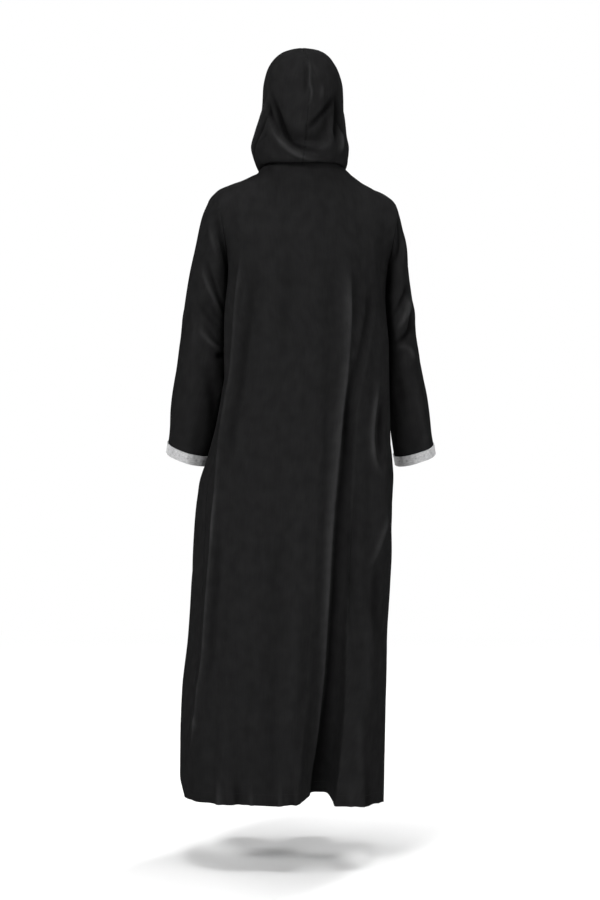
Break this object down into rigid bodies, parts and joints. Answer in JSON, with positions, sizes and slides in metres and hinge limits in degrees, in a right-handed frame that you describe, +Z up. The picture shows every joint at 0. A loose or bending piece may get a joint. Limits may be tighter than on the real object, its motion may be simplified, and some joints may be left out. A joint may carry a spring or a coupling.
{
  "type": "hooded djellaba",
  "caption": "Long plain black hooded robe in its hollow worn form, with long sleeves, woven silver cuff bands and the hood raised.",
  "frame": {"origin": "middle of the neckline, where the wearer's neck and shoulders carry the garment", "axes": "+Z up, the front of the garment towards -Y, its left sleeve at +X"},
  "size_m": [0.6192, 0.3766, 1.6843],
  "materials": {
    "back_panel": "matte",
    "front_panel": "matte",
    "sleeve_left": "matte",
    "sleeve_right": "matte",
    "cuff_left": "satin",
    "cuff_right": "satin",
    "hood_left": "matte",
    "hood_right": "matte"
  },
  "bodies": {
    "root": {"back_panel": "back_panel", "front_panel": "front_panel", "sleeve_left": "sleeve_left", "sleeve_right": "sleeve_right", "cuff_left": "cuff_left", "cuff_right": "cuff_right", "hood_left": "hood_left", "hood_right": "hood_right"}
  },
  "joints": []
}
